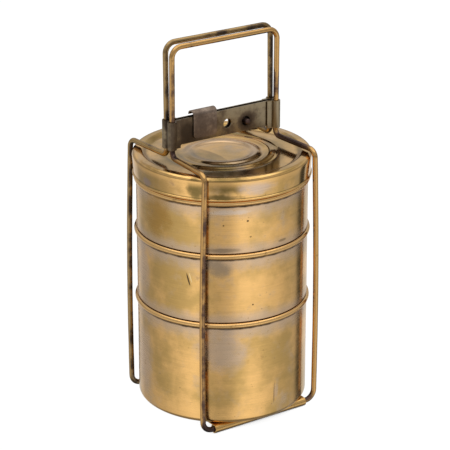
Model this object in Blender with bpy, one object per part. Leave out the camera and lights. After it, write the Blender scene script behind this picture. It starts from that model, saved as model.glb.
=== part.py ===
"""Three-tier brass tiffin carrier: stacked round containers under a ringed lid, held by two hinged
wire loops that meet in a carrying handle and are joined by a latch.

Units are metres and +Z is up. The origin is on the ground under the middle of the stack. X runs
along the handle and the latch, -Y is the front. Each piece is one object.
"""

import math

import bmesh
import bpy
from mathutils import Matrix, Vector

MM = 0.001

# Fits between touching pieces
GAP = 0.3 * MM
SHEET = 1.0 * MM
ROUND_STEPS = 48
MERGE_DISTANCE = 0.0001 * MM
Y_FROM_Z = Matrix.Rotation(math.radians(-90.0), 4, "X")

# Stack of containers: radii and the heights of the rolled rims' centres
BODY_RADIUS = 66.0 * MM
BODY_CORNER = 4.0 * MM
RIM_REACH = 1.9 * MM
RIM_HALF_HEIGHT = 2.1 * MM
BOTTOM_RIM_Z = 89.5 * MM
MIDDLE_RIM_Z = 145.5 * MM
TOP_RIM_Z = 188.0 * MM
SPIGOT_RADIUS = 64.5 * MM
SPIGOT_DEPTH = 5.0 * MM
SPIGOT_CORNER = 2.0 * MM

# Lid
LID_RADIUS = 68.8 * MM
LID_TOP_Z = 208.4 * MM
LID_CORNER = 3.2 * MM
LID_RIM_WIDTH = 7.0 * MM
LID_DISH_DEPTH = 2.8 * MM
LID_SLOPE_WIDTH = 5.0 * MM
LID_HEM = 0.8 * MM
# Embossed rings of the lid: middle radius, half width, height
LID_RINGS = (
    (25.5 * MM, 5.5 * MM, 1.1 * MM),
    (36.0 * MM, 4.5 * MM, 0.8 * MM),
    (42.5 * MM, 1.8 * MM, -0.5 * MM),
)
LID_RING_STEP = 2.8 * MM

# Wire loops: half distances between the uprights, heights of the wire's centre, bends
WIRE_RADIUS = 2.2 * MM
WIRE_SIDES = 10
LOOP_BOTTOM_X = 52.6 * MM
LOOP_TOP_X = 50.1 * MM
LOOP_Y = 51.3 * MM
SHOULDER_Z = 211.4 * MM
UPRIGHT_BOW = 1.5 * MM
UPRIGHT_POINTS = 10
HANDLE_X = 47.5 * MM
HANDLE_Y = 3.65 * MM
HANDLE_TOP_Y = 4.4 * MM
FRONT_HANDLE_Z = 296.8 * MM
BACK_HANDLE_Z = 298.4 * MM
FOOT_BEND = 8.0 * MM
SHOULDER_BEND = 6.0 * MM
SLEEVE_BEND = 5.0 * MM
HANDLE_BEND = 8.0 * MM
BEND_POINTS = 5

# Sheet rolled round the wire: hinge barrels of the base plate and sleeves of the latch leaves
ROLL_INNER = WIRE_RADIUS + GAP
ROLL_OUTER = ROLL_INNER + SHEET
ROLL_STEP = math.radians(24.0)
BARREL_LAST_ANGLE = math.radians(402.0)
PLATE_HALF_X = 43.0 * MM
# The barrel's lowest facet lies flat on the ground
HINGE_Z = ROLL_OUTER * math.cos(ROLL_STEP / 2)

# Latch leaves
LEAF_BOTTOM_Z = 217.7 * MM
LEAF_TOP_Z = 239.6 * MM
LEAF_OFFSET = 1.1 * MM
LEAF_LAP_END = 8.0 * MM
HOLE_STEPS = 20
DRILL_DEPTH = 16.0 * MM
PADLOCK_X = 3.4 * MM
PADLOCK_Z = 228.5 * MM
PADLOCK_RADIUS = 3.7 * MM
PEG_X = 20.4 * MM
PEG_Z = 227.4 * MM
PEG_HOLE_RADIUS = 3.8 * MM
PEG_RADIUS = 2.3 * MM
PEG_NOSE = 1.2 * MM
PEG_REACH = 3.4 * MM
PEG_HEAD_RADIUS = 3.8 * MM
PEG_HEAD_HEIGHT = 1.6 * MM

# Latch clip
CLIP_X = -17.7 * MM
CLIP_HALF_X = 10.5 * MM
CLIP_BOTTOM_Z = 222.4 * MM
CLIP_LIP_Z = 240.4 * MM
CLIP_FOLD_HEIGHT = 3.6 * MM
CLIP_CLEARANCE = 0.5 * MM
CLIP_CORNER = 3.0 * MM
CLIP_FOLD_POINTS = 9

PLATE_TOP_Z = HINGE_Z + ROLL_OUTER
BRASS = {
    "warm_brass": ((0.64, 0.40, 0.16), 0.32),
    "wire_brass": ((0.36, 0.23, 0.11), 0.38),
    "dark_brass": ((0.17, 0.13, 0.10), 0.45),
}


def clear_scene():
    for obj in list(bpy.data.objects):
        bpy.data.objects.remove(obj, do_unlink=True)


def brass(name, finish):
    """Brass with the colour and roughness of one finish."""
    colour, roughness = BRASS[finish]
    material = bpy.data.materials.new(name)
    material.use_nodes = True
    shader = material.node_tree.nodes["Principled BSDF"]
    shader.inputs["Base Color"].default_value = (*colour, 1.0)
    shader.inputs["Roughness"].default_value = roughness
    shader.inputs["Metallic"].default_value = 1.0
    return material


def add_object(name, data, finish):
    obj = bpy.data.objects.new(name, data)
    data.materials.append(brass(name, finish))
    bpy.context.scene.collection.objects.link(obj)
    return obj


def mesh_object(name, bm, finish):
    """The object made from an edited mesh, with its faces pointing out and its round stretches smooth."""
    bmesh.ops.recalc_face_normals(bm, faces=bm.faces)
    mesh = bpy.data.meshes.new(name)
    bm.to_mesh(mesh)
    bm.free()
    mesh.shade_smooth()
    mesh.set_sharp_from_angle(angle=math.radians(35.0))
    return add_object(name, mesh, finish)


def arc(centre, radii, start, end, steps):
    """Points of an elliptical arc in a plane, angles in radians, both ends included."""
    points = []
    for step in range(steps + 1):
        angle = start + (end - start) * step / steps
        points.append((centre[0] + radii[0] * math.cos(angle), centre[1] + radii[1] * math.sin(angle)))
    return points


def degrees_arc(centre, radius, start, end, steps):
    """A circular arc with its angles in degrees."""
    return arc(centre, (radius, radius), math.radians(start), math.radians(end), steps)


def turned_mesh(profile, steps):
    """Turns a profile of (radius, height) points once round the Z axis."""
    bm = bmesh.new()
    turned = [bm.verts.new((radius, 0.0, height)) for radius, height in profile]
    edges = [bm.edges.new(pair) for pair in zip(turned, turned[1:])]
    bmesh.ops.spin(
        bm,
        geom=turned + edges,
        cent=(0, 0, 0),
        axis=(0, 0, 1),
        angle=2 * math.pi,
        steps=steps,
        use_merge=True,
    )
    bmesh.ops.remove_doubles(bm, verts=bm.verts, dist=MERGE_DISTANCE)
    return bm


def add_turned(name, profile, finish):
    mesh_object(name, turned_mesh(profile, ROUND_STEPS), finish)


def hang_on(parent, *children):
    """The children move with the parent, whose origin is on its joint's axis."""
    for child in children:
        child.parent = parent
        child.location = -parent.location


def extruded(name, outline, place, sweep, finish):
    """Extrudes a closed outline of plane points. place turns a plane point into a space point."""
    bm = bmesh.new()
    face = bm.faces.new([bm.verts.new(place(*point)) for point in outline])
    swept = bmesh.ops.extrude_face_region(bm, geom=[face])["geom"]
    moved = [item for item in swept if isinstance(item, bmesh.types.BMVert)]
    bmesh.ops.translate(bm, verts=moved, vec=sweep)
    return mesh_object(name, bm, finish)


# Containers


def rolled_rim(rim_z):
    """The rim's outline, from under its outer side over the top to the inner wall."""
    centre = (BODY_RADIUS, rim_z)
    outer = arc(centre, (RIM_REACH, RIM_HALF_HEIGHT), math.radians(-90), math.radians(90), 8)
    inner_edge = BODY_RADIUS - SHEET
    return outer + [(inner_edge, rim_z + RIM_HALF_HEIGHT)]


def make_bottom_container():
    floor_z = PLATE_TOP_Z + GAP
    corner = (BODY_RADIUS - BODY_CORNER, floor_z + BODY_CORNER)
    outside = [(0.0, floor_z)] + degrees_arc(corner, BODY_CORNER, -90, 0, 4)
    inside = degrees_arc(corner, BODY_CORNER - SHEET, 0, -90, 4) + [(0.0, floor_z + SHEET)]
    add_turned("bottom_container", outside + rolled_rim(BOTTOM_RIM_Z) + inside, "warm_brass")


def make_upper_container(name, lower_rim_z, rim_z):
    """A container whose narrower foot sits inside the rim below."""
    seat_z = lower_rim_z + RIM_HALF_HEIGHT + GAP
    floor_z = seat_z - SPIGOT_DEPTH
    corner = (SPIGOT_RADIUS - SPIGOT_CORNER, floor_z + SPIGOT_CORNER)
    outside = [(0.0, floor_z)] + degrees_arc(corner, SPIGOT_CORNER, -90, 0, 3)
    outside += [(SPIGOT_RADIUS, seat_z), (BODY_RADIUS, seat_z)]
    inside = [(BODY_RADIUS - SHEET, seat_z + SHEET), (SPIGOT_RADIUS - SHEET, seat_z + SHEET)]
    inside += degrees_arc(corner, SPIGOT_CORNER - SHEET, 0, -90, 3) + [(0.0, floor_z + SHEET)]
    add_turned(name, outside + rolled_rim(rim_z) + inside, "warm_brass")


# Lid


def smooth_step(value):
    value = min(max(value, 0.0), 1.0)
    return value * value * (3.0 - 2.0 * value)


def lid_surface(radius):
    """Height of the lid's upper face inside its rounded edge."""
    rim_inside = LID_RADIUS - LID_RIM_WIDTH
    height = LID_TOP_Z - LID_DISH_DEPTH * smooth_step((rim_inside - radius) / LID_SLOPE_WIDTH)
    for middle, half_width, ring_height in LID_RINGS:
        across = abs(radius - middle) / half_width
        if across < 1.0:
            height += ring_height * 0.5 * (1.0 + math.cos(math.pi * across))
    return height


def make_lid():
    seat_z = TOP_RIM_Z + RIM_HALF_HEIGHT + GAP
    spigot_z = seat_z - SPIGOT_DEPTH
    edge = (LID_RADIUS - LID_CORNER, LID_TOP_Z - LID_CORNER)
    wall = LID_RADIUS - LID_HEM
    outside = [(SPIGOT_RADIUS - SHEET, spigot_z), (SPIGOT_RADIUS, spigot_z), (SPIGOT_RADIUS, seat_z)]
    outside += [(wall, seat_z)] + degrees_arc((wall, seat_z + LID_HEM), LID_HEM, -60, 60, 4)
    outside += [(wall, seat_z + 2 * LID_HEM), (wall, edge[1] - LID_CORNER)]
    outside += degrees_arc(edge, LID_CORNER, 0, 90, 5)
    flat_radius = LID_RADIUS - LID_CORNER
    ring_count = int(flat_radius / LID_RING_STEP)
    radii = [flat_radius * (1.0 - step / ring_count) for step in range(1, ring_count + 1)]
    top = [(radius, lid_surface(radius)) for radius in radii]
    under = [(radius, lid_surface(radius) - SHEET) for radius in radii[::-2]]
    under += degrees_arc(edge, LID_CORNER - SHEET, 90, 0, 4)
    under += [(wall - SHEET, edge[1] - LID_CORNER)]
    under += [(wall - SHEET, seat_z + SHEET), (SPIGOT_RADIUS - SHEET, seat_z + SHEET)]
    profile = outside + top + under
    add_turned("lid", profile + profile[:1], "warm_brass")


# Wire loops


def filleted(corners):
    """Points of a closed path. Each corner is (point, bend radius) and becomes an arc."""
    points = []
    for index, (corner, bend) in enumerate(corners):
        before = (corners[index - 1][0] - corner).normalized()
        after = (corners[(index + 1) % len(corners)][0] - corner).normalized()
        half_angle = before.angle(after) / 2
        reach = bend / math.tan(half_angle)
        middle = corner + (before + after).normalized() * bend / math.sin(half_angle)
        start = (corner + before * reach - middle).normalized()
        end = (corner + after * reach - middle).normalized()
        for step in range(BEND_POINTS + 1):
            points.append(middle + start.slerp(end, step / BEND_POINTS) * bend)
    return points


def with_upright_points(points):
    """Adds points along the two long uprights, so that they can bow."""
    path = []
    for index, point in enumerate(points):
        path.append(point)
        following = points[(index + 1) % len(points)]
        if abs(following.z - point.z) > SHOULDER_Z / 2:
            for step in range(1, UPRIGHT_POINTS):
                path.append(point.lerp(following, step / UPRIGHT_POINTS))
    return path


def bowed(point):
    """Moves a point of an upright outwards, most at its middle height."""
    along = (point.z - HINGE_Z) / (SHOULDER_Z - HINGE_Z)
    if not 0.0 < along < 1.0:
        return point
    return point + Vector((math.copysign(UPRIGHT_BOW * math.sin(math.pi * along), point.x), 0.0, 0.0))


def make_wire_loop(name, side, handle_z, finish):
    """One closed loop of wire: hinge bar, uprights, shoulders over the lid and half of the handle.
    side is -1 for the front loop and 1 for the back one. The object's origin is on its hinge axis."""
    hinge = Vector((0.0, side * LOOP_Y, HINGE_Z))
    half = [
        (Vector((LOOP_BOTTOM_X, side * LOOP_Y, HINGE_Z)), FOOT_BEND),
        (Vector((LOOP_TOP_X, side * LOOP_Y, SHOULDER_Z)), SHOULDER_BEND),
        (Vector((HANDLE_X, side * HANDLE_Y, SHOULDER_Z)), SLEEVE_BEND),
        (Vector((HANDLE_X, side * HANDLE_TOP_Y, handle_z)), HANDLE_BEND),
    ]
    mirrored = [(Vector((-point.x, point.y, point.z)), bend) for point, bend in reversed(half)]
    path = [bowed(point) for point in with_upright_points(filleted(half + mirrored))]
    curve = bpy.data.curves.new(name, "CURVE")
    curve.dimensions = "3D"
    curve.bevel_depth = WIRE_RADIUS
    curve.bevel_resolution = (WIRE_SIDES - 4) // 2
    spline = curve.splines.new("POLY")
    spline.points.add(len(path) - 1)
    for spline_point, point in zip(spline.points, path):
        spline_point.co = (*(point - hinge), 1.0)
    spline.use_cyclic_u = True
    spline.use_smooth = True
    loop = add_object(name, curve, finish)
    loop.location = hinge
    return loop


# Rolled sheet


def roll_arc(radius, middle, start, end):
    """Points of a roll seen along its wire, on facets of about ROLL_STEP."""
    steps = max(round(abs(end - start) / ROLL_STEP), 1)
    return arc(middle, (radius, radius), start, end, steps)


def mirror_outline(half):
    """A whole outline from the points of its left half, whose first and last points face the middle."""
    return half + [(-across, up) for across, up in reversed(half)]


def make_base_plate():
    """Plate under the stack. Its front and back edges are rolled down round the loops' lower bars."""
    middle = (-LOOP_Y, HINGE_Z)
    start = math.radians(90.0)
    half = roll_arc(ROLL_INNER, middle, start, BARREL_LAST_ANGLE)
    half += roll_arc(ROLL_OUTER, middle, BARREL_LAST_ANGLE, start)
    extruded(
        "base_plate",
        mirror_outline(half),
        lambda y, z: (-PLATE_HALF_X, y, z),
        (2 * PLATE_HALF_X, 0.0, 0.0),
        "warm_brass",
    )


def make_leaf(name, side, finish, holes):
    """One latch leaf: a strip whose ends are rolled round the handle's two legs and lapped on its face.
    side is -1 for the front leaf and 1 for the back one. holes are (x, z, radius)."""
    middle = (-HANDLE_X, 0.0)
    lap_face = LEAF_OFFSET - GAP
    lap_back = lap_face - SHEET
    full_turn = 2 * math.pi
    strip_back = LEAF_OFFSET + SHEET
    half = roll_arc(
        ROLL_INNER,
        middle,
        math.asin(LEAF_OFFSET / ROLL_INNER),
        full_turn + math.asin(lap_face / ROLL_INNER),
    )
    half += [(-HANDLE_X + LEAF_LAP_END, lap_face), (-HANDLE_X + LEAF_LAP_END, lap_back)]
    half += roll_arc(
        ROLL_OUTER,
        middle,
        full_turn + math.asin(lap_back / ROLL_OUTER),
        math.asin(strip_back / ROLL_OUTER),
    )
    leaf = extruded(
        name,
        mirror_outline(half),
        lambda x, inward: (x, side * (HANDLE_Y - inward), LEAF_BOTTOM_Z),
        (0.0, 0.0, LEAF_TOP_Z - LEAF_BOTTOM_Z),
        finish,
    )
    for x, z, radius in holes:
        drill(leaf, Vector((x, side * HANDLE_Y, z)), radius)
    return leaf


def drill(obj, place, radius):
    """Cuts a round hole along Y through the object at the place."""
    name = f"{obj.name}_drill_{len(obj.modifiers) + 1}"
    bm = bmesh.new()
    bmesh.ops.create_cone(
        bm, cap_ends=True, segments=HOLE_STEPS, radius1=radius, radius2=radius, depth=DRILL_DEPTH
    )
    bmesh.ops.transform(bm, verts=bm.verts, matrix=Matrix.Translation(place) @ Y_FROM_Z)
    cutter = mesh_object(name, bm, "dark_brass")
    cutter.hide_render = True
    cutter.display_type = "WIRE"
    cut = obj.modifiers.new(name, "BOOLEAN")
    cut.operation = "DIFFERENCE"
    cut.object = cutter


def make_locating_peg():
    """Rivet in the back leaf. Its round nose sticks forwards through the front leaf's larger hole."""
    leaf_back = HANDLE_Y - LEAF_OFFSET
    head_start = leaf_back + GAP
    nose = -(leaf_back + PEG_REACH)
    profile = [(0.0, nose)]
    profile += degrees_arc((PEG_RADIUS - PEG_NOSE, nose + PEG_NOSE), PEG_NOSE, -90, 0, 3)
    profile += [(PEG_RADIUS, head_start), (PEG_HEAD_RADIUS, head_start)]
    profile += arc((0.0, head_start), (PEG_HEAD_RADIUS, PEG_HEAD_HEIGHT), 0.0, math.pi / 2, 5)[1:]
    bm = turned_mesh(profile, HOLE_STEPS)
    place = Matrix.Translation((PEG_X, 0.0, PEG_Z))
    bmesh.ops.transform(bm, verts=bm.verts, matrix=place @ Y_FROM_Z)
    return mesh_object("locating_peg", bm, "dark_brass")


# Latch clip


def make_clip():
    """Folded keeper: a flap in front of the leaves, a round fold over them and a short back lip."""
    inner_half = HANDLE_Y - LEAF_OFFSET + CLIP_CLEARANCE
    outer_half = inner_half + SHEET
    fold = (0.0, CLIP_LIP_Z)
    over = arc(fold, (outer_half, CLIP_FOLD_HEIGHT), math.pi, 0.0, CLIP_FOLD_POINTS)
    under = arc(fold, (inner_half, CLIP_FOLD_HEIGHT - SHEET), 0.0, math.pi, CLIP_FOLD_POINTS)
    outline = [(-outer_half, CLIP_BOTTOM_Z)] + over + under + [(-inner_half, CLIP_BOTTOM_Z)]
    clip = extruded(
        "latch_clip",
        outline,
        lambda y, z: (CLIP_X - CLIP_HALF_X, y, z),
        (2 * CLIP_HALF_X, 0.0, 0.0),
        "dark_brass",
    )
    bm = bmesh.new()
    bm.from_mesh(clip.data)
    low = CLIP_BOTTOM_Z + GAP
    corners = [edge for edge in bm.edges if all(vertex.co.z < low for vertex in edge.verts)]
    across = [edge for edge in corners if abs(edge.verts[0].co.x - edge.verts[1].co.x) < GAP]
    bmesh.ops.bevel(bm, geom=across, offset=CLIP_CORNER, segments=4, profile=0.5, affect="EDGES")
    bm.to_mesh(clip.data)
    bm.free()
    return clip


clear_scene()
make_base_plate()
make_bottom_container()
make_upper_container("middle_container", BOTTOM_RIM_Z, MIDDLE_RIM_Z)
make_upper_container("top_container", MIDDLE_RIM_Z, TOP_RIM_Z)
make_lid()
front_loop = make_wire_loop("front_wire_loop", -1, FRONT_HANDLE_Z, "wire_brass")
back_loop = make_wire_loop("back_wire_loop", 1, BACK_HANDLE_Z, "dark_brass")
padlock_hole = (PADLOCK_X, PADLOCK_Z, PADLOCK_RADIUS)
loose_peg_hole = (PEG_X, PEG_Z, PEG_HOLE_RADIUS)
tight_peg_hole = (PEG_X, PEG_Z, PEG_RADIUS + GAP)
front_leaf = make_leaf("front_latch_leaf", -1, "dark_brass", [padlock_hole, loose_peg_hole])
back_leaf = make_leaf("back_latch_leaf", 1, "dark_brass", [padlock_hole, tight_peg_hole])
hang_on(front_loop, front_leaf, make_clip())
hang_on(back_loop, back_leaf, make_locating_peg())
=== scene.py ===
"""Looks of the three-tier brass tiffin carrier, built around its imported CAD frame.

Every piece is in metres in the frame's own axes: +Z up, -Y front, X along the handle. A bearing is an
angle round the stack in degrees, 0 at the front and 90 on the +X side.
"""

import math
from collections import namedtuple

import bmesh
import bpy
from mathutils import Matrix, Vector, noise


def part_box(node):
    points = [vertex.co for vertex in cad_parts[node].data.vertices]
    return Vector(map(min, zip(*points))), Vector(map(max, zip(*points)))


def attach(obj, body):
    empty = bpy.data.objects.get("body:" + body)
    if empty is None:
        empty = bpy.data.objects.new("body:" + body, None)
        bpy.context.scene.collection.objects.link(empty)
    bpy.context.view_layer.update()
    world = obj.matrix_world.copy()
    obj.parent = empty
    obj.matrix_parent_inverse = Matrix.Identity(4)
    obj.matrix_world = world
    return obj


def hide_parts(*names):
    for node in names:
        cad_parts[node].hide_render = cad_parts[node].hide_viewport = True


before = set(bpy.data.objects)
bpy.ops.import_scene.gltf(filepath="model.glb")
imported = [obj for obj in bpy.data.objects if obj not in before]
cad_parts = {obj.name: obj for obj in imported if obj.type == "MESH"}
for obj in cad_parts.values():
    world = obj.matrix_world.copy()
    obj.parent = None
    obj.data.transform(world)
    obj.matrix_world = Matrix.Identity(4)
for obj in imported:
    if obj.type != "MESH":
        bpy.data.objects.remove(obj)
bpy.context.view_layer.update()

MM = 0.001
SHEET = 1.0 * MM
GAP = 0.3 * MM
ROUND_STEPS = 192

# Camera and studio
CAMERA_BEARING = -34.4
CAMERA_ELEVATION = 21.4
CAMERA_DISTANCE = 1594 * MM
CAMERA_TARGET = Vector((7.7, 7.2, 141.6)) * MM
LENS = 163.7

# Containers
RIM_REACH = 1.9 * MM
RIM_HALF_HEIGHT = 2.1 * MM
BODY_CORNER = 4.0 * MM
SPIGOT_INSET = 1.5 * MM
SPIGOT_DEPTH = 5.0 * MM
SPIGOT_CORNER = 2.0 * MM

# Lid: its embossed rings are (middle radius, half width, height)
LID_CORNER = 3.2 * MM
LID_RIM_WIDTH = 7.0 * MM
LID_DISH_DEPTH = 2.8 * MM
LID_SLOPE_WIDTH = 5.0 * MM
LID_FLARE = 0.8 * MM
LID_RINGS = (
    (25.5 * MM, 5.5 * MM, 1.1 * MM),
    (36.0 * MM, 4.5 * MM, 0.8 * MM),
    (42.5 * MM, 1.8 * MM, -0.5 * MM),
)

# Wire loops: the wire, its corners from the foot up to the handle, and the bend at each corner
WIRE_RADIUS = 2.2 * MM
FOOT_X = 52.6 * MM
FOOT_BEND = 8.0 * MM
UPRIGHT_BOW = 1.5 * MM
SHOULDER_X = 50.1 * MM
SHOULDER_Y = 51.3 * MM
SHOULDER_Z = 211.4 * MM
SHOULDER_BEND = 6.0 * MM
HANDLE_X = 47.5 * MM
HANDLE_Y = 3.65 * MM
SLEEVE_BEND = 5.0 * MM
HANDLE_TOP_Y = 4.4 * MM
HANDLE_BEND = 8.0 * MM

# Rolled sheet of the base plate and of the latch leaves
ROLL_INNER = WIRE_RADIUS + GAP
ROLL_OUTER = ROLL_INNER + SHEET
ROLL_STEP = math.radians(7.5)
# The plate's rolled edges run from one angle to the other, and stand on a flat this far either side
BARREL_ANGLES = (math.radians(90.0), math.radians(402.0))
BARREL_HALF_FLAT = math.radians(12.0)
LEAF_OFFSET = 1.1 * MM
LEAF_LAP_END = 8.0 * MM
STRAP_NOTCH = 2.0 * MM
PADLOCK_HOLE = (3.4 * MM, 228.5 * MM, 3.7 * MM)
PEG_HOLE = (20.4 * MM, 227.4 * MM, 3.8 * MM)
PEG_RADIUS = 2.3 * MM
PEG_NOSE = 1.2 * MM
PEG_REACH = 3.4 * MM
PEG_HEAD_RADIUS = 3.8 * MM
PEG_HEAD_HEIGHT = 1.6 * MM
CLIP_FOLD_HEIGHT = 3.6 * MM
CLIP_CLEARANCE = 0.5 * MM
CLIP_CORNER = 3.0 * MM


def bearing_direction(bearing):
    angle = math.radians(bearing)
    return Vector((math.sin(angle), -math.cos(angle), 0.0))


# Node graphs


class Graph:
    """Adds nodes to one node tree. Each call makes a node and gives back its output."""

    def __init__(self, tree):
        self.tree = tree

    def add(self, kind, inputs, output=0, **settings):
        node = self.tree.nodes.new(kind)
        for name, value in settings.items():
            setattr(node, name, value)
        for key, value in inputs.items():
            if isinstance(value, bpy.types.NodeSocket):
                self.tree.links.new(value, node.inputs[key])
            else:
                node.inputs[key].default_value = value
        return node.outputs[output]

    def math(self, operation, *values, clamp=False):
        inputs = dict(enumerate(values))
        return self.add("ShaderNodeMath", inputs, operation=operation, use_clamp=clamp)

    def vector(self, operation, *values, output=0):
        inputs = dict(enumerate(values))
        return self.add("ShaderNodeVectorMath", inputs, output, operation=operation)

    def blend(self, factor, first, second):
        """Mixes two colours."""
        inputs = {0: factor, 6: colour(first), 7: colour(second)}
        return self.add("ShaderNodeMix", inputs, 2, data_type="RGBA")

    def step(self, value, low, high, bottom=0.0, top=1.0):
        """A soft step: bottom below low, top above high."""
        inputs = {"Value": value, "From Min": low, "From Max": high, "To Min": bottom, "To Max": top}
        return self.add("ShaderNodeMapRange", inputs, interpolation_type="SMOOTHSTEP")

    def mixed(self, factor, first, second):
        """Mixes two numbers."""
        inputs = {0: factor, 2: first, 3: second}
        return self.add("ShaderNodeMix", inputs, 0, data_type="FLOAT")

    def scaled(self, vector, factor):
        """Multiplies a colour or vector by a number."""
        return self.add("ShaderNodeVectorMath", {0: vector, "Scale": factor}, operation="SCALE")

    def noise(self, vector, scale, detail=3.0, roughness=0.55):
        inputs = {"Vector": vector, "Scale": scale, "Detail": detail, "Roughness": roughness}
        return self.add("ShaderNodeTexNoise", inputs)


def colour(value):
    if isinstance(value, tuple):
        return (*value, 1.0)
    return value


# Brass

BLACK_DIRT_AND_SHADE = (0.022, 0.014, 0.009)
BROWN = (0.30, 0.17, 0.06)

# What a turned brass piece looks like. polish_radius is where its rubbed, outermost parts begin
Turned = namedtuple("Turned", "gold olive haze haze_share roughness hazy_roughness polish_radius")
# A soft band of haze or dirt round the piece: along its height ("Z") or its radius ("R")
Band = namedtuple("Band", "along middle half_width strength colour")
# A scratch, stain, speck, or patch of painted dark reflection: where it is, its size along and across, its
# tilt from upright in degrees.
# edge is the share of its size where it starts to fade
Mark = namedtuple("Mark", "bearing radius z length width tilt strength colour edge", defaults=(0.3,))


def new_material(name):
    material = bpy.data.materials.new(name)
    material.use_nodes = True
    tree = material.node_tree
    shader = tree.nodes["Principled BSDF"]
    return material, Graph(tree), shader


def connect(graph, shader, **sockets):
    for name, source in sockets.items():
        graph.tree.links.new(source, shader.inputs[name.replace("_", " ")])


class TurnedPlace:
    """Coordinates on a piece turned round Z. rings runs in fine circles, as a lathe and polishing do."""

    def __init__(self, graph):
        self.place = graph.add("ShaderNodeTexCoord", {}, "Object")
        split = graph.tree.nodes.new("ShaderNodeSeparateXYZ")
        graph.tree.links.new(self.place, split.inputs[0])
        self.height = split.outputs["Z"]
        flat = graph.vector("MULTIPLY", self.place, (1.0, 1.0, 0.0))
        self.radius = graph.vector("LENGTH", flat, output="Value")
        along = graph.math("MULTIPLY", graph.math("ADD", self.height, self.radius), 30.0)
        inputs = {"X": split.outputs["X"], "Y": split.outputs["Y"], "Z": along}
        self.rings = graph.add("ShaderNodeCombineXYZ", inputs)


def band_mask(graph, at, band, waver):
    """A band strongest at its middle height or radius. waver makes its edge ragged and its cover patchy."""
    value = at.height if band.along == "Z" else at.radius
    offset = graph.math("ABSOLUTE", graph.math("SUBTRACT", value, band.middle))
    ragged = graph.math("ADD", offset, graph.math("MULTIPLY", waver, band.half_width * 1.8))
    return graph.step(ragged, 0.0, band.half_width * 1.4, band.strength, 0.0)


def mark_mask(graph, at, mark, waver):
    outward = bearing_direction(mark.bearing)
    centre = outward * mark.radius + Vector((0.0, 0.0, mark.z))
    sideways = bearing_direction(mark.bearing + 90.0)
    upward = Vector((0.0, 0.0, 1.0)) if mark.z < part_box("lid")[1].z - 5 * MM else -outward
    tilt = math.radians(mark.tilt)
    along = upward * math.cos(tilt) + sideways * math.sin(tilt)
    across = sideways * math.cos(tilt) - upward * math.sin(tilt)
    offset = graph.vector("SUBTRACT", at.place, tuple(centre))
    shares = [
        graph.math("DIVIDE", graph.vector("DOT_PRODUCT", offset, tuple(axis), output="Value"), size)
        for axis, size in ((along, mark.length / 2), (across, mark.width / 2))
    ]
    squares = [graph.math("POWER", graph.math("ABSOLUTE", share), 2.0) for share in shares]
    distance = graph.math("ADD", graph.math("ADD", *squares), graph.math("MULTIPLY", waver, 1.6))
    near = graph.vector("LENGTH", offset, output="Value")
    close = graph.math("LESS_THAN", near, max(mark.length, mark.width))
    return graph.math("MULTIPLY", graph.step(distance, mark.edge, 1.1, mark.strength, 0.0), close)


def crevice_dirt_and_shade(graph, distance, strength):
    """Black dirt and painted shade where the piece's own surface closes in on itself."""
    inputs = {"Distance": distance}
    open_share = graph.add("ShaderNodeAmbientOcclusion", inputs, "AO", samples=6, only_local=True)
    return graph.step(open_share, 0.25, 0.72, strength, 0.0)


def clouded(graph, at, look, mottle):
    """Gold with olive clouds and patches of haze: its colour, and where the haze covers it."""
    cloud = graph.noise(at.place, 24.0, 4.0, 0.6)
    patch = graph.noise(at.place, 42.0, 5.0, 0.6)
    base = graph.blend(graph.step(cloud, 0.38, 0.62, 0.0, 0.9), look.gold, look.olive)
    mixed = graph.math("ADD", graph.math("MULTIPLY", patch, 0.6), graph.math("MULTIPLY", mottle, 0.4))
    haze = graph.step(mixed, 0.56 - look.haze_share * 0.2, 0.80 - look.haze_share * 0.2, 0.0, 0.75)
    return graph.blend(haze, base, look.haze), haze


def soiled(graph, place, base):
    """Adds brown stains and specks, and black dirt and painted shade in the crevices."""
    stain = graph.step(graph.noise(place, 60.0, 5.0, 0.7), 0.62, 0.74, 0.0, 0.5)
    base = graph.blend(stain, base, BROWN)
    speck = graph.step(graph.noise(place, 480.0, 2.0, 0.5), 0.70, 0.77, 0.0, 0.55)
    base = graph.blend(speck, base, BROWN)
    return graph.blend(crevice_dirt_and_shade(graph, 2.2 * MM, 0.93), base, BLACK_DIRT_AND_SHADE)


def turned_brass(name, look, bands=(), marks=()):
    """Spun brass: bright gold rubbed clean on its beads, olive and brown clouds, grey-mauve haze, fine
    circular scratches, and black dirt and painted shade in its crevices."""
    material, graph, shader = new_material(name)
    at = TurnedPlace(graph)
    mottle = graph.noise(at.place, 120.0, 5.0, 0.65)
    streak = graph.noise(at.rings, 22.0, 4.0, 0.6)
    fine = graph.noise(at.rings, 75.0, 3.0, 0.65)
    waver = graph.math("SUBTRACT", mottle, 0.5)
    polish = graph.step(at.radius, look.polish_radius, look.polish_radius + 0.4 * MM)

    base, cover = clouded(graph, at, look, mottle)
    layers = [(band_mask(graph, at, band, waver), band.colour) for band in bands]
    layers += [(mark_mask(graph, at, mark, waver), mark.colour) for mark in marks]
    for mask, layer_colour in layers:
        base = graph.blend(mask, base, layer_colour)
        cover = graph.math("MAXIMUM", cover, mask)
    base = graph.blend(graph.math("MULTIPLY", polish, 0.85), base, look.gold)
    base = soiled(graph, at.place, base)
    base = graph.scaled(base, graph.step(fine, 0.25, 0.75, 0.93, 1.06))
    base = graph.scaled(base, graph.step(streak, 0.3, 0.7, 0.97, 1.03))

    dull = graph.math("MULTIPLY", cover, graph.math("SUBTRACT", 1.0, polish))
    smooth = graph.step(fine, 0.3, 0.7, look.roughness * 0.8, look.roughness * 1.25)
    rough = graph.mixed(dull, smooth, look.hazy_roughness)
    relief = graph.math("ADD", fine, graph.math("MULTIPLY", mottle, 0.5))
    bump = graph.add("ShaderNodeBump", {"Height": relief, "Strength": 0.12, "Distance": 0.05 * MM}, "Normal")
    connect(graph, shader, Base_Color=base, Roughness=rough, Normal=bump)
    shader.inputs["Metallic"].default_value = 1.0
    return material
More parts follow.
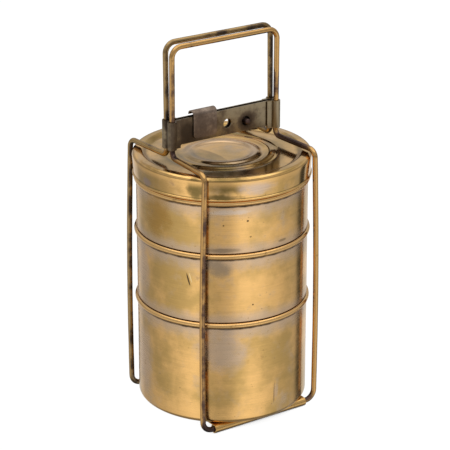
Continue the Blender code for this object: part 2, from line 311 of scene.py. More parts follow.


# Wire and strip

# bright_bearings are the sides made lighter at the left and right end of the piece: rubbed wear, and a
# painted highlight where they face the camera's side. dark_places are (point, radius) where it is darker; at
# the wire's feet, beside the clip and round the peg hole this is painted shade
Worn = namedtuple(
    "Worn", "bright dark black share roughness bright_bearings top_share rub lighter_right dark_places"
)


def painted_shade_side(graph, place, normal):
    """Painted shade on the sides that face down, or in towards the other half of the cage."""
    side = graph.math("SIGN", graph.add("ShaderNodeSeparateXYZ", {"Vector": place}, "Y"))
    outward = graph.math("MULTIPLY", graph.add("ShaderNodeSeparateXYZ", {"Vector": normal}, "Y"), side)
    up = graph.add("ShaderNodeSeparateXYZ", {"Vector": normal}, "Z")
    lowest = graph.math("MINIMUM", outward, up)
    return graph.step(lowest, -0.75, -0.15, 0.95, 0.0)


def rubbed_and_highlit_facing(graph, look, place, normal, right):
    """How far a surface faces its lighter sides: the sides of the uprights, the front of the grip, the top.
    This is rubbed wear, and a painted highlight on the sides towards the camera.
    """
    # Lighter towards these bearings: a painted highlight where they face the camera's side, rubbed wear
    # elsewhere
    rubbed = [
        graph.vector("DOT_PRODUCT", normal, tuple(bearing_direction(bearing)), output="Value")
        for bearing in look.bright_bearings
    ]
    facing = graph.mixed(right, *rubbed)
    height = graph.add("ShaderNodeSeparateXYZ", {"Vector": place}, "Z")
    handle_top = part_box("front_wire_loop")[1].z
    grip = graph.step(height, handle_top - 14 * MM, handle_top - 5 * MM)
    front = graph.vector("DOT_PRODUCT", normal, (0.0, -0.86, 0.5), output="Value")
    facing = graph.mixed(grip, facing, front)
    up = graph.add("ShaderNodeSeparateXYZ", {"Vector": normal}, "Z")
    return graph.math("MAXIMUM", facing, graph.math("MULTIPLY", up, look.top_share))


def unworn_share(graph, look, place, normal, cloud, mottle):
    """Low where the metal is rubbed bare and where a highlight is painted, high where its tarnish has stayed
    and where shade is painted.
    """
    across = graph.add("ShaderNodeSeparateXYZ", {"Vector": place}, "X")
    right = graph.step(across, -40 * MM, 40 * MM)
    facing = rubbed_and_highlit_facing(graph, look, place, normal, right)
    share = graph.math("ADD", graph.math("MULTIPLY", cloud, 0.7), graph.math("MULTIPLY", mottle, 0.3))
    share = graph.math("SUBTRACT", share, graph.math("MULTIPLY", facing, look.rub))
    # Darker round each dark place; at the wire's feet, beside the clip and round the peg hole this is
    # painted shade
    for point, reach in look.dark_places:
        away = graph.vector("DISTANCE", place, point, output="Value")
        share = graph.math("ADD", share, graph.step(away, reach * 0.2, reach * 1.2, 0.35, 0.0))
    return graph.math("SUBTRACT", share, graph.math("MULTIPLY", right, look.lighter_right))


def worn_brass(name, look):
    """Old brass of wire or strip: bare metal where hands and use wear it, with a painted highlight on the
    sides towards the camera; brown and black elsewhere, with painted shade on the sides facing down or
    inwards, at some dark places and in the crevices.
    """
    material, graph, shader = new_material(name)
    coordinates = graph.tree.nodes.new("ShaderNodeTexCoord")
    place, normal = coordinates.outputs["Object"], coordinates.outputs["Normal"]
    cloud = graph.noise(place, 55.0, 4.0, 0.6)
    mottle = graph.noise(place, 260.0, 4.0, 0.7)
    grain = graph.noise(place, 1400.0, 2.0, 0.5)

    unworn = unworn_share(graph, look, place, normal, cloud, mottle)
    tarnish = graph.step(unworn, 0.56 - look.share * 0.3, 0.80 - look.share * 0.3)
    base = graph.blend(tarnish, look.bright, look.dark)
    deep = graph.step(unworn, 0.74 - look.share * 0.3, 1.00 - look.share * 0.3, 0.0, 0.70)
    base = graph.blend(deep, base, look.black)
    patches = graph.step(cloud, 0.40, 0.62, 0.35, 1.0)
    # Painted shade, in patches, on the sides facing down or inwards
    painted_shade = graph.math("MULTIPLY", painted_shade_side(graph, place, normal), patches)
    base = graph.blend(painted_shade, base, look.black)
    pits = graph.step(graph.noise(place, 700.0, 3.0, 0.6), 0.62, 0.72, 0.0, 0.5)
    base = graph.blend(pits, base, BLACK_DIRT_AND_SHADE)
    # Black dirt and painted shade in the crevices
    base = graph.blend(crevice_dirt_and_shade(graph, 1.6 * MM, 0.9), base, BLACK_DIRT_AND_SHADE)

    dull = graph.math("ADD", tarnish, graph.math("MULTIPLY", mottle, 0.5))
    rough = graph.step(dull, 0.0, 1.4, look.roughness, look.roughness + 0.22)
    relief = graph.math("ADD", mottle, graph.math("MULTIPLY", grain, 0.4))
    bump = graph.add("ShaderNodeBump", {"Height": relief, "Strength": 0.25, "Distance": 0.08 * MM}, "Normal")
    connect(graph, shader, Base_Color=base, Roughness=rough, Normal=bump)
    shader.inputs["Metallic"].default_value = 1.0
    return material


# Shapes


def arc(centre, radii, start, end, steps):
    """Points of an elliptical arc in a plane, angles in degrees, both ends included."""
    points = []
    for step in range(steps + 1):
        angle = math.radians(start + (end - start) * step / steps)
        points.append((centre[0] + radii[0] * math.cos(angle), centre[1] + radii[1] * math.sin(angle)))
    return points


def dense(points, longest):
    """The same outline with extra points, so that no straight stretch is longer than the given length."""
    filled = [points[0]]
    for end in points[1:]:
        start = filled[-1]
        count = max(1, math.ceil(math.dist(start, end) / longest))
        for step in range(1, count + 1):
            share = step / count
            filled.append((start[0] + (end[0] - start[0]) * share, start[1] + (end[1] - start[1]) * share))
    return filled


def finished(name, bm, sharp_angle=35.0):
    """The object of an edited mesh, smooth but for its sharp edges."""
    bmesh.ops.recalc_face_normals(bm, faces=bm.faces)
    mesh = bpy.data.meshes.new(name)
    bm.to_mesh(mesh)
    bm.free()
    mesh.shade_smooth()
    mesh.set_sharp_from_angle(angle=math.radians(sharp_angle))
    obj = bpy.data.objects.new(name, mesh)
    bpy.context.scene.collection.objects.link(obj)
    return obj


def add_piece(obj, body, node, material):
    """Gives the object its material, and makes it ride on the body in place of the CAD node."""
    obj.data.materials.clear()
    obj.data.materials.append(material)
    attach(obj, body)
    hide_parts(node)
    return obj


def turned(name, profile, uneven, seed):
    """Turns a profile of (radius, height) points, from axis to axis, once round Z. uneven is how far
    the hand-made wall wanders in or out."""
    bm = bmesh.new()
    columns = []
    on_axis = [index for index, (radius, height) in enumerate(profile) if radius < MM / 100]
    ends = {index: bm.verts.new((0.0, 0.0, profile[index][1])) for index in on_axis}
    for step in range(ROUND_STEPS):
        direction = bearing_direction(360.0 * step / ROUND_STEPS)
        column = []
        for index, (radius, height) in enumerate(profile):
            if index in ends:
                column.append(ends[index])
                continue
            spot = Vector((direction.x * 1.3, direction.y * 1.3, height * 16.0 + seed))
            wander = uneven * noise.noise(spot) * min(radius / (30 * MM), 1.0)
            place = direction * (radius + wander)
            place.z = height
            column.append(bm.verts.new(place))
        columns.append(column)
    for column, following in zip(columns, columns[1:] + columns[:1]):
        for lower in range(len(profile) - 1):
            ring = [column[lower], following[lower], following[lower + 1], column[lower + 1]]
            corners = list(dict.fromkeys(ring))
            if len(corners) > 2:
                bm.faces.new(corners)
    return finished(name, bm, 50.0)


def without_modifiers(obj):
    """Keeps what the object's modifiers make as its own mesh."""
    graph = bpy.context.evaluated_depsgraph_get()
    mesh = bpy.data.meshes.new_from_object(obj.evaluated_get(graph))
    obj.modifiers.clear()
    obj.data = mesh
    return obj


# Containers


def rim_outline(radius, rim_z):
    """The rolled bead, from the crevice where its edge meets the wall, over the top, to the inner wall."""
    bead = arc((radius, rim_z), (RIM_REACH, RIM_HALF_HEIGHT), -78.0, 90.0, 16)
    inner_edge = radius - SHEET
    fillet = 0.5 * MM
    fillet_middle = (inner_edge + fillet, rim_z + RIM_HALF_HEIGHT - fillet)
    inner_round = arc(fillet_middle, (fillet, fillet), 90.0, 180.0, 4)
    return [(radius, rim_z - RIM_HALF_HEIGHT + 0.6 * MM)] + bead + inner_round


def container_profile(node, spigot):
    low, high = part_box(node)
    radius = high.x - RIM_REACH
    rim_z = high.z - RIM_HALF_HEIGHT
    floor_z = low.z
    if spigot:
        seat_z = floor_z + SPIGOT_DEPTH
        foot = radius - SPIGOT_INSET
        corner = (foot - SPIGOT_CORNER, floor_z + SPIGOT_CORNER)
        outside = [(0.0, floor_z)] + arc(corner, (SPIGOT_CORNER, SPIGOT_CORNER), -90.0, 0.0, 6)
        fold = 0.7 * MM
        outside += [(foot, seat_z), (radius - fold, seat_z)]
        outside += arc((radius - fold, seat_z + fold), (fold, fold), -90.0, 0.0, 5)[1:]
        inside = [(radius - SHEET, seat_z + SHEET), (foot - SHEET, seat_z + SHEET)]
        inside += arc(corner, (SPIGOT_CORNER - SHEET, SPIGOT_CORNER - SHEET), 0.0, -90.0, 5)
    else:
        corner = (radius - BODY_CORNER, floor_z + BODY_CORNER)
        outside = [(0.0, floor_z)] + arc(corner, (BODY_CORNER, BODY_CORNER), -90.0, 0.0, 10)
        inside = arc(corner, (BODY_CORNER - SHEET, BODY_CORNER - SHEET), 0.0, -90.0, 8)
    return outside + rim_outline(radius, rim_z) + inside + [(0.0, floor_z + SHEET)]


def add_container(node, body, spigot, seed):
    profile = dense(container_profile(node, spigot), 4 * MM)
    shell = turned(f"{body}_shell", profile, 0.12 * MM, seed)
    low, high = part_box(node)
    radius = high.x - RIM_REACH
    bead_bottom = high.z - 2 * RIM_HALF_HEIGHT
    seat_z = low.z + (SPIGOT_DEPTH if spigot else 0.0)
    look = BODY_LOOK._replace(polish_radius=radius + 0.3 * MM)
    bands = [
        Band("Z", bead_bottom - 1.0 * MM, 9.0 * MM, 0.65, MAUVE_HAZE),
        Band("Z", bead_bottom - 0.2 * MM, 1.1 * MM, 1.0, BLACK_DIRT_AND_SHADE),
    ]
    if spigot:
        bands.insert(0, Band("Z", seat_z + 1.0 * MM, 7.0 * MM, 0.6, MAUVE_HAZE))
        bands.append(Band("Z", seat_z, 0.5 * MM, 0.9, BLACK_DIRT_AND_SHADE))
    own_marks = [mark._replace(radius=radius) for mark in MARKS.get(body, ())]
    return add_piece(shell, body, node, turned_brass(f"{body}_brass", look, bands, own_marks))


# Lid


def smooth_step(value):
    value = min(max(value, 0.0), 1.0)
    return value * value * (3.0 - 2.0 * value)


def lid_height(radius, lid_radius, top_z):
    """Height of the lid's upper face inside its rounded edge."""
    rim_inside = lid_radius - LID_RIM_WIDTH
    height = top_z - LID_DISH_DEPTH * smooth_step((rim_inside - radius) / LID_SLOPE_WIDTH)
    for middle, half_width, ring_height in LID_RINGS:
        across = abs(radius - middle) / half_width
        if across < 1.0:
            height += ring_height * 0.5 * (1.0 + math.cos(math.pi * across))
    return height


def add_lid():
    low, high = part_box("lid")
    radius, top_z = high.x, high.z
    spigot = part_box("top_container")[1].x - RIM_REACH - SPIGOT_INSET
    seat_z = low.z + SPIGOT_DEPTH
    wall = radius - LID_FLARE
    edge = (radius - LID_CORNER, top_z - LID_CORNER)
    count = 72
    radii = [(radius - LID_CORNER) * step / count for step in range(count)]
    top = [(across, lid_height(across, radius, top_z)) for across in radii]
    outside = top + arc(edge, (LID_CORNER, LID_CORNER), 90.0, 0.0, 12)
    outside += [(wall, seat_z + 2.2 * LID_FLARE)]
    outside += arc((wall, seat_z + LID_FLARE), (LID_FLARE, LID_FLARE), 70.0, -80.0, 10)
    outside += [(wall - 0.4 * MM, seat_z), (spigot, seat_z), (spigot, low.z), (spigot - SHEET, low.z)]
    inside = [(spigot - SHEET, seat_z + SHEET), (wall - SHEET, seat_z + SHEET)]
    inside += arc(edge, (LID_CORNER - SHEET, LID_CORNER - SHEET), 0.0, 90.0, 8)
    inside += [(across, lid_height(across, radius, top_z) - SHEET) for across in radii[::-1]]
    shell = turned("lid_shell", dense(outside + inside, 4 * MM), 0.1 * MM, 7.3)
    look = LID_LOOK._replace(polish_radius=radius - 0.35 * MM)
    bands = [
        Band("R", 25.0 * MM, 7.0 * MM, 0.6, MAUVE_HAZE),
        Band("R", 45.0 * MM, 4.0 * MM, 0.5, DARK_OLIVE),
        Band("R", 59.0 * MM, 3.0 * MM, 0.55, DARK_OLIVE),
        Band("Z", seat_z + 2.6 * LID_FLARE, 0.5 * MM, 0.8, DARK_OLIVE),
    ]
    own_marks = [mark if mark.radius else mark._replace(radius=wall) for mark in MARKS["lid"]]
    add_piece(shell, "lid", "lid", turned_brass("lid_brass", look, bands, own_marks))


# Wire loops


def filleted(corners, steps):
    """Points of a closed path. Each corner is (point, bend radius) and becomes an arc."""
    points = []
    for index, (corner, bend) in enumerate(corners):
        before = (corners[index - 1][0] - corner).normalized()
        after = (corners[(index + 1) % len(corners)][0] - corner).normalized()
        half_angle = before.angle(after) / 2
        reach = bend / math.tan(half_angle)
        middle = corner + (before + after).normalized() * bend / math.sin(half_angle)
        start = (corner + before * reach - middle).normalized()
        end = (corner + after * reach - middle).normalized()
        for step in range(steps + 1):
            points.append(middle + start.slerp(end, step / steps) * bend)
    return points


def subdivided(points, longest):
    """The closed path with extra points along its straight stretches."""
    path = []
    for start, end in zip(points, points[1:] + points[:1]):
        count = max(1, math.ceil((end - start).length / longest))
        path += [start.lerp(end, step / count) for step in range(count)]
    return path


def loop_corners(side, hinge_y, hinge_z, handle_z):
    """Corners of a wire loop as (point, bend radius), round from the right foot to the left one. side is
    -1 for the front loop and 1 for the back one."""
    right = [
        (Vector((FOOT_X, side * hinge_y, hinge_z)), FOOT_BEND),
        (Vector((SHOULDER_X, side * SHOULDER_Y, SHOULDER_Z)), SHOULDER_BEND),
        (Vector((HANDLE_X, side * HANDLE_Y, SHOULDER_Z)), SLEEVE_BEND),
        (Vector((HANDLE_X, side * HANDLE_TOP_Y, handle_z)), HANDLE_BEND),
    ]
    left = [(Vector((-point.x, point.y, point.z)), bend) for point, bend in reversed(right)]
    return right + left


def bowed(point, hinge_z):
    """Moves a point of an upright outwards, most at its middle height."""
    along = (point.z - hinge_z) / (SHOULDER_Z - hinge_z)
    if not 0.0 < along < 1.0:
        return point
    return point + Vector((math.copysign(UPRIGHT_BOW * math.sin(math.pi * along), point.x), 0.0, 0.0))


def add_wire_loop(body, node, side, material):
    low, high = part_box(node)
    hinge_z = low.z + WIRE_RADIUS
    hinge_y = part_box("base_plate")[1].y - ROLL_OUTER
    corners = loop_corners(side, hinge_y, hinge_z, high.z - WIRE_RADIUS)
    path = [bowed(point, hinge_z) for point in subdivided(filleted(corners, 10), 5 * MM)]
    curve = bpy.data.curves.new(f"{body}_wire", "CURVE")
    curve.dimensions = "3D"
    curve.bevel_depth = WIRE_RADIUS
    curve.bevel_resolution = 8
    spline = curve.splines.new("POLY")
    spline.points.add(len(path) - 1)
    for spline_point, point in zip(spline.points, path):
        spline_point.co = (*point, 1.0)
        spline_point.radius = 0.965 + 0.03 * noise.noise(point * 60.0)
    spline.use_cyclic_u = True
    spline.use_smooth = True
    wire = bpy.data.objects.new(f"{body}_wire", curve)
    bpy.context.scene.collection.objects.link(wire)
    mesh = bpy.data.meshes.new_from_object(wire.evaluated_get(bpy.context.evaluated_depsgraph_get()))
    bpy.data.objects.remove(wire)
    bm = bmesh.new()
    bm.from_mesh(mesh)
    add_piece(finished(f"{body}_wire", bm), body, node, material)


# Rolled sheet


def extruded(name, outline, place, start, end, longest):
    """Extrudes a closed outline of plane points in several steps. place turns a plane point and a
    distance into a space point."""
    bm = bmesh.new()
    count = math.ceil((end - start) / longest)
    layers = []
    for step in range(count + 1):
        along = start + (end - start) * step / count
        layers.append([bm.verts.new(place(*point, along)) for point in outline])
    for layer, following in zip(layers, layers[1:]):
        for index in range(len(outline)):
            bm.faces.new([layer[index - 1], layer[index], following[index], following[index - 1]])
    bm.faces.new(layers[0])
    bm.faces.new(layers[-1])
    return finished(name, bm)


def roll_arc(radius, middle, start, end):
    steps = max(round(abs(end - start) / ROLL_STEP), 1)
    return arc(middle, (radius, radius), math.degrees(start), math.degrees(end), steps)


def mirror_outline(half):
    """A whole outline from the points of its left half, whose first and last points face the middle."""
    return half + [(-across, up) for across, up in reversed(half)]


def rounded_edges(obj, width):
    """Rounds the sheared edges of a sheet part a little, as filing and use leave them."""
    bevel = obj.modifiers.new("rounded_edges", "BEVEL")
    bevel.width = width
    bevel.segments = 2
    bevel.limit_method = "ANGLE"
    bevel.angle_limit = math.radians(50.0)
    bevel.harden_normals = True
    return without_modifiers(obj)


def add_base_plate(material):
    low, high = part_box("base_plate")
    middle = (low.y + ROLL_OUTER, low.z + ROLL_OUTER * math.cos(BARREL_HALF_FLAT))
    start, last = BARREL_ANGLES
    half = roll_arc(ROLL_INNER, middle, start, last) + roll_arc(ROLL_OUTER, middle, last, start)
    plate = extruded(
        "rolled_base_plate",
        dense(mirror_outline(half), 6 * MM),
        lambda y, z, x: (x, y, z),
        low.x,
        high.x,
        6 * MM,
    )
    add_piece(rounded_edges(plate, 0.25 * MM), "base", "base_plate", material)


def cut(obj, cutter, operation="DIFFERENCE"):
    boolean = obj.modifiers.new("cut", "BOOLEAN")
    boolean.operation = operation
    boolean.object = cutter
    boolean.solver = "EXACT"
    without_modifiers(obj)
    bpy.data.objects.remove(cutter)


def drill(obj, hole):
    """Cuts a round hole along Y."""
    x, z, radius = hole
    bm = bmesh.new()
    bmesh.ops.create_cone(bm, cap_ends=True, segments=40, radius1=radius, radius2=radius, depth=30 * MM)
    turn = Matrix.Translation((x, 0.0, z)) @ Matrix.Rotation(math.radians(90.0), 4, "X")
    bmesh.ops.transform(bm, verts=bm.verts, matrix=turn)
    cut(obj, finished("drill", bm))


def notch(obj, low, high):
    """Cuts a box away."""
    bm = bmesh.new()
    size = high - low
    place = Matrix.Translation((low + high) / 2) @ Matrix.Diagonal((*size, 1.0))
    bmesh.ops.create_cube(bm, size=1.0, matrix=place)
    cut(obj, finished("notch", bm))


def add_leaf(body, node, side, peg_hole_radius, material):
    """A latch leaf: a strap whose ends are rolled round the handle's legs and lapped on its face."""
    low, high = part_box(node)
    middle = (-HANDLE_X, 0.0)
    lap_face = LEAF_OFFSET - GAP
    lap_back = lap_face - SHEET
    strip_back = LEAF_OFFSET + SHEET
    full_turn = 2 * math.pi
    half = roll_arc(
        ROLL_INNER, middle, math.asin(LEAF_OFFSET / ROLL_INNER), full_turn + math.asin(lap_face / ROLL_INNER)
    )
    half += [(-HANDLE_X + LEAF_LAP_END, lap_face), (-HANDLE_X + LEAF_LAP_END, lap_back)]
    half += roll_arc(
        ROLL_OUTER, middle, full_turn + math.asin(lap_back / ROLL_OUTER), math.asin(strip_back / ROLL_OUTER)
    )
    leaf = extruded(
        f"{body}_leaf",
        mirror_outline(half),
        lambda x, inward, z: (x, side * (HANDLE_Y - inward), z),
        low.z,
        high.z,
        30 * MM,
    )
    reach = HANDLE_X - LEAF_LAP_END + 0.5 * MM
    notch(
        leaf,
        Vector((-reach, -12 * MM, low.z - MM)),
        Vector((reach, 12 * MM, low.z + STRAP_NOTCH)),
    )
    drill(leaf, PADLOCK_HOLE)
    drill(leaf, (PEG_HOLE[0], PEG_HOLE[1], peg_hole_radius))
    add_piece(rounded_edges(leaf, 0.22 * MM), body, node, material)


def add_peg(material):
    leaf_back = HANDLE_Y - LEAF_OFFSET
    head_start = leaf_back + GAP
    nose = -(leaf_back + PEG_REACH)
    radius = PEG_RADIUS
    profile = [(0.0, nose)] + arc((radius - PEG_NOSE, nose + PEG_NOSE), (PEG_NOSE, PEG_NOSE), -90.0, 0.0, 6)
    profile += [(radius, head_start), (PEG_HEAD_RADIUS - 0.3 * MM, head_start)]
    profile += arc((0.0, head_start), (PEG_HEAD_RADIUS, PEG_HEAD_HEIGHT), 12.0, 90.0, 10)
    peg = turned("riveted_peg", profile, 0.0, 0.0)
    peg.data.transform(
        Matrix.Translation((PEG_HOLE[0], 0.0, PEG_HOLE[1])) @ Matrix.Rotation(math.radians(-90.0), 4, "X")
    )
    add_piece(peg, "back_frame", "locating_peg", material)


def add_clip(material):
    low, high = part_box("latch_clip")
    inner_half = HANDLE_Y - LEAF_OFFSET + CLIP_CLEARANCE
    outer_half = inner_half + SHEET
    lip_z = high.z - CLIP_FOLD_HEIGHT
    over = arc((0.0, lip_z), (outer_half, CLIP_FOLD_HEIGHT), 180.0, 0.0, 24)
    under = arc((0.0, lip_z), (inner_half, CLIP_FOLD_HEIGHT - SHEET), 0.0, 180.0, 24)
    outline = [(-outer_half, low.z)] + over + under + [(-inner_half, low.z)]
    clip = extruded("folded_clip", outline, lambda y, z, x: (x, y, z), low.x, high.x, 30 * MM)
    bm = bmesh.new()
    bm.from_mesh(clip.data)
    corners = [edge for edge in bm.edges if all(vertex.co.z < low.z + GAP for vertex in edge.verts)]
    across = [edge for edge in corners if abs(edge.verts[0].co.x - edge.verts[1].co.x) < GAP]
    bmesh.ops.bevel(bm, geom=across, offset=CLIP_CORNER, segments=8, profile=0.5, affect="EDGES")
    bm.to_mesh(clip.data)
    bm.free()
    add_piece(rounded_edges(clip, 0.2 * MM), "clip", "latch_clip", material)


# Studio


def add_camera():
    angle = math.radians(CAMERA_ELEVATION)
    back = bearing_direction(CAMERA_BEARING) * math.cos(angle) + Vector((0.0, 0.0, math.sin(angle)))
    data = bpy.data.cameras.new("camera")
    data.lens = LENS
    data.sensor_width = 36.0
    camera = bpy.data.objects.new("camera", data)
    camera.location = CAMERA_TARGET + back * CAMERA_DISTANCE
    camera.rotation_euler = back.to_track_quat("Z", "Y").to_euler()
    bpy.context.scene.collection.objects.link(camera)
    bpy.context.scene.camera = camera


# Brightness that the studio sends towards the object from below eye level, by bearing from the
# camera's side, and from above, by the sine of its elevation
BEHIND = 0.80
STUDIO_WALLS = (
    (-141, 0.62), (-139, 0.42), (-107, 0.50), (-90, 0.58), (-76, 0.70), (-62, 0.80), (-38, 1.05),
    (-29, 1.05), (-22, 0.60), (-5, 0.54), (11, 0.62), (19, 0.88), (28, 1.05), (50, 1.0), (62, 0.86),
    (76, 0.74), (90, 0.62), (119, 0.52), (124, 0.06), (134, 0.05), (138, 0.75),
)
STUDIO_ABOVE = ((0.0, 0.34), (0.2, 0.42), (0.33, 0.60), (0.42, 0.66), (0.55, 0.42), (0.72, 0.7), (0.84, 1.7))
UNDERFOOT = 0.22


def grey_ramp(graph, factor, ends, stops):
    node = graph.tree.nodes.new("ShaderNodeValToRGB")
    graph.tree.links.new(factor, node.inputs[0])
    elements = node.color_ramp.elements
    elements[0].color = (ends[0],) * 3 + (1.0,)
    elements[1].color = (ends[1],) * 3 + (1.0,)
    for position, level in stops:
        elements.new(position).color = (level, level, level, 1.0)
    return node.outputs[0]


def add_studio():
    scene = bpy.context.scene
    world = bpy.data.worlds.new("studio")
    scene.world = world
    world.use_nodes = True
    graph = Graph(world.node_tree)
    background = world.node_tree.nodes["Background"]
    direction = graph.add("ShaderNodeTexCoord", {}, "Generated")
    towards = bearing_direction(CAMERA_BEARING)
    sideways = bearing_direction(CAMERA_BEARING + 90.0)
    ahead = graph.vector("DOT_PRODUCT", direction, tuple(towards), output="Value")
    aside = graph.vector("DOT_PRODUCT", direction, tuple(sideways), output="Value")
    turn = graph.math("DIVIDE", graph.math("ARCTAN2", aside, ahead), 2 * math.pi)
    stops = [((bearing + 180.0) / 360.0, level) for bearing, level in STUDIO_WALLS]
    walls = grey_ramp(graph, graph.math("ADD", turn, 0.5), (BEHIND, BEHIND), stops)
    up = graph.add("ShaderNodeSeparateXYZ", {"Vector": direction}, "Z")
    above = grey_ramp(graph, up, (STUDIO_ABOVE[0][1], 1.1), STUDIO_ABOVE[1:])
    light = graph.blend(graph.step(up, -0.24, -0.04), walls, above)
    light = graph.blend(graph.step(up, -0.80, -0.50, 1.0, 0.0), light, (UNDERFOOT,) * 3)
    seen = graph.add("ShaderNodeLightPath", {}, "Is Camera Ray")
    both = graph.blend(seen, light, (1.0, 1.0, 1.0))
    graph.tree.links.new(both, background.inputs["Color"])
    background.inputs["Strength"].default_value = 1.0
    scene.view_settings.view_transform = "Standard"


def add_floor():
    bm = bmesh.new()
    bmesh.ops.create_grid(bm, x_segments=1, y_segments=1, size=3.0)
    floor = finished("floor", bm)
    material, graph, shader = new_material("floor_paper")
    # The floor glows evenly, and an occlusion mask dims the glow near the object: a painted contact shadow
    inputs = {"Distance": 11 * MM}
    open_share = graph.add("ShaderNodeAmbientOcclusion", inputs, "AO", samples=8)
    light = graph.step(open_share, 0.02, 0.22)
    graph.tree.links.new(light, shader.inputs["Emission Strength"])
    shader.inputs["Base Color"].default_value = (0.02, 0.02, 0.02, 1.0)
    shader.inputs["Roughness"].default_value = 0.9
    shader.inputs["Emission Color"].default_value = (1.0, 1.0, 1.0, 1.0)
    floor.data.materials.append(material)
    floor.visible_glossy = False
    floor.visible_diffuse = False


MAUVE_HAZE = (0.64, 0.49, 0.38)
DARK_OLIVE = (0.22, 0.15, 0.05)
BODY_LOOK = Turned(
    gold=(0.92, 0.55, 0.20),
    olive=(0.56, 0.36, 0.12),
    haze=(0.68, 0.50, 0.33),
    haze_share=0.30,
    roughness=0.20,
    hazy_roughness=0.32,
    polish_radius=0.0,
)
LID_LOOK = BODY_LOOK._replace(haze=(0.62, 0.47, 0.33), haze_share=0.30, roughness=0.12, hazy_roughness=0.20)

SCRATCH_BROWN = (0.10, 0.06, 0.03)
# Edge of a mark that fades from its very middle
SOFT = 0.0
MARKS = {
    "bottom_tier": (
        Mark(3.0, 0.0, 27 * MM, 19 * MM, 1.6 * MM, 2.0, 0.6, (0.30, 0.20, 0.12)),
        Mark(5.0, 0.0, 29 * MM, 15 * MM, 5.0 * MM, 2.0, 0.5, MAUVE_HAZE, SOFT),
        Mark(-34.0, 0.0, 68 * MM, 40 * MM, 46 * MM, 8.0, 0.7, MAUVE_HAZE, SOFT),
        Mark(-100.0, 0.0, 45 * MM, 70 * MM, 30 * MM, 0.0, 0.6, MAUVE_HAZE, SOFT),
    ),
    "middle_tier": (
        Mark(-56.9, 0.0, 125.8 * MM, 12 * MM, 1.5 * MM, -16.0, 0.95, SCRATCH_BROWN),
        Mark(-55.4, 0.0, 127.5 * MM, 9 * MM, 1.2 * MM, -16.0, 0.8, (1.0, 0.75, 0.38)),
        Mark(-37.0, 0.0, 136.0 * MM, 16 * MM, 26 * MM, 20.0, 0.75, (0.40, 0.30, 0.20), SOFT),
        Mark(-13.7, 0.0, 105.5 * MM, 1.6 * MM, 1.6 * MM, 0.0, 0.9, BLACK_DIRT_AND_SHADE),
        Mark(-100.0, 0.0, 120 * MM, 50 * MM, 24 * MM, 0.0, 0.6, MAUVE_HAZE, SOFT),
    ),
    "top_tier": (
        Mark(-17.5, 0.0, 173.6 * MM, 1.9 * MM, 2.2 * MM, 0.0, 0.8, BLACK_DIRT_AND_SHADE),
        Mark(-33.4, 0.0, 170.8 * MM, 1.4 * MM, 1.6 * MM, 0.0, 0.7, BLACK_DIRT_AND_SHADE),
        Mark(-15.5, 0.0, 160.7 * MM, 1.2 * MM, 1.8 * MM, 0.0, 0.6, BLACK_DIRT_AND_SHADE),
        Mark(9.0, 0.0, 152.5 * MM, 2.4 * MM, 10 * MM, 0.0, 0.5, SCRATCH_BROWN),
        # A painted dark reflection near the lower edge, on the side facing the camera
        Mark(-34.0, 0.0, 150.8 * MM, 4.4 * MM, 32 * MM, 0.0, 0.6, (0.20, 0.14, 0.09), SOFT),
        Mark(-82.0, 0.0, 172.0 * MM, 44 * MM, 34 * MM, 0.0, 0.85, (0.50, 0.28, 0.07), SOFT),
        Mark(-30.0, 0.0, 181.0 * MM, 5 * MM, 36 * MM, 0.0, 0.8, (0.80, 0.64, 0.50), SOFT),
    ),
    "lid": (
        Mark(-32.0, 0.0, 202.9 * MM, 5.0 * MM, 2.0 * MM, 0.0, 0.75, (0.20, 0.15, 0.10)),
        Mark(4.2, 0.0, 205.0 * MM, 1.5 * MM, 1.5 * MM, 0.0, 0.8, BLACK_DIRT_AND_SHADE),
        Mark(-85.0, 0.0, 198.0 * MM, 36.0 * MM, 62 * MM, 0.0, 0.55, DARK_OLIVE, SOFT),
        Mark(-90.0, 0.0, 195.5 * MM, 8.0 * MM, 14 * MM, 0.0, 0.6, (0.36, 0.28, 0.28), SOFT),
        # This and the next three are painted dark reflections on the skirt, on the side towards the camera
        Mark(-52.0, 0.0, 201.0 * MM, 16.0 * MM, 15 * MM, 0.0, 0.95, DARK_OLIVE, SOFT),
        Mark(-34.0, 0.0, 193.5 * MM, 6.0 * MM, 34 * MM, 0.0, 0.95, DARK_OLIVE, SOFT),
        Mark(-50.0, 0.0, 200.0 * MM, 22.0 * MM, 16 * MM, 0.0, 0.95, DARK_OLIVE, SOFT),
        Mark(-30.0, 0.0, 203.0 * MM, 18.0 * MM, 40 * MM, 0.0, 0.9, DARK_OLIVE, SOFT),
        Mark(-12.0, 0.0, 200.0 * MM, 14.0 * MM, 34 * MM, 0.0, 0.85, MAUVE_HAZE, SOFT),
        Mark(17.0, 42.4 * MM, 205.6 * MM, 2.2 * MM, 8.0 * MM, 30.0, 0.85, (0.16, 0.09, 0.05)),
    ),
}

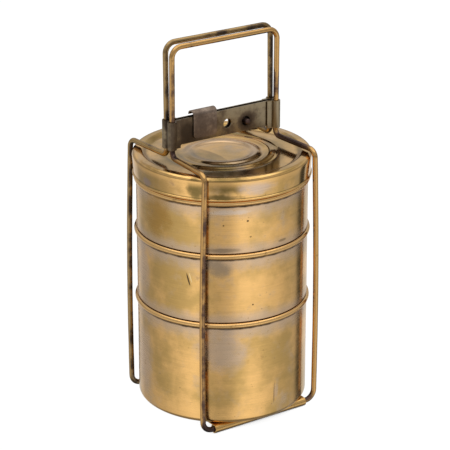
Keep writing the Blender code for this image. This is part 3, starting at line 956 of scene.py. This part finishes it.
WIRE_GOLD = Worn(
    bright=(0.62, 0.36, 0.13),
    dark=(0.15, 0.09, 0.07),
    black=(0.045, 0.03, 0.03),
    share=0.66,
    roughness=0.22,
    # -20 faces the camera's side, so the lighter metal there is a painted highlight; at -128 it is rubbed
    # wear
    bright_bearings=(-128.0, -20.0),
    top_share=0.45,
    rub=0.40,
    lighter_right=-0.04,
    dark_places=(
        ((48 * MM, -22 * MM, 211 * MM), 30 * MM),
        ((48 * MM, -4 * MM, 252 * MM), 18 * MM),
        ((-30 * MM, -5 * MM, 301 * MM), 9 * MM),
        ((-48 * MM, -5 * MM, 213 * MM), 11 * MM),
        # The two spots at the feet are painted shade where the wire bends in under the container
        ((-47 * MM, -51 * MM, 6 * MM), 12 * MM),
        ((48 * MM, -51 * MM, 4 * MM), 10 * MM),
    ),
)
WIRE_DARK = WIRE_GOLD._replace(
    bright=(0.50, 0.33, 0.14),
    dark=(0.12, 0.085, 0.06),
    black=(0.055, 0.04, 0.034),
    share=0.72,
    bright_bearings=(-90.0, -80.0),
    rub=0.25,
    lighter_right=-0.10,
    dark_places=(),
)
STRAP = Worn(
    bright=(0.34, 0.27, 0.17),
    dark=(0.17, 0.125, 0.085),
    black=(0.06, 0.042, 0.03),
    share=0.95,
    roughness=0.30,
    # -34 faces the camera, so the lighter metal there is a painted highlight; at -100 it is rubbed wear
    bright_bearings=(-100.0, -34.0),
    top_share=0.7,
    rub=0.12,
    lighter_right=0.10,
    # Painted shade beside the clip's edge and round the peg hole
    dark_places=(((-33 * MM, -3 * MM, 228 * MM), 9 * MM), ((20.4 * MM, -3 * MM, 227.4 * MM), 8 * MM)),
)
CLIP = STRAP._replace(
    bright=(0.40, 0.31, 0.24),
    dark=(0.21, 0.155, 0.12),
    black=(0.08, 0.06, 0.05),
    lighter_right=0.0,
    dark_places=(),
)
PEG = STRAP._replace(bright=(0.26, 0.16, 0.13), dark=(0.13, 0.085, 0.075), lighter_right=0.0, dark_places=())
PLATE = WIRE_GOLD._replace(
    bright=(0.66, 0.40, 0.14),
    dark=(0.30, 0.18, 0.07),
    share=0.35,
    # Lighter on the side facing the camera: a painted highlight
    bright_bearings=(-34.0, -34.0),
    rub=0.18,
    lighter_right=0.0,
    dark_places=(),
)

add_camera()
add_studio()
add_floor()
latch_brass = worn_brass("latch_strap_brass", STRAP)
add_base_plate(worn_brass("base_plate_brass", PLATE))
add_container("bottom_container", "bottom_tier", False, 0.0)
add_container("middle_container", "middle_tier", True, 3.1)
add_container("top_container", "top_tier", True, 5.7)
add_lid()
golden_brass = worn_brass("golden_wire_brass", WIRE_GOLD)
dark_brass = worn_brass("dark_wire_brass", WIRE_DARK)
add_wire_loop("front_frame", "front_wire_loop", -1, golden_brass)
add_wire_loop("back_frame", "back_wire_loop", 1, dark_brass)
add_leaf("front_frame", "front_latch_leaf", -1, PEG_HOLE[2], latch_brass)
add_leaf("back_frame", "back_latch_leaf", 1, PEG_RADIUS + GAP, latch_brass)
add_peg(worn_brass("peg_copper", PEG))
add_clip(worn_brass("latch_clip_brass", CLIP))
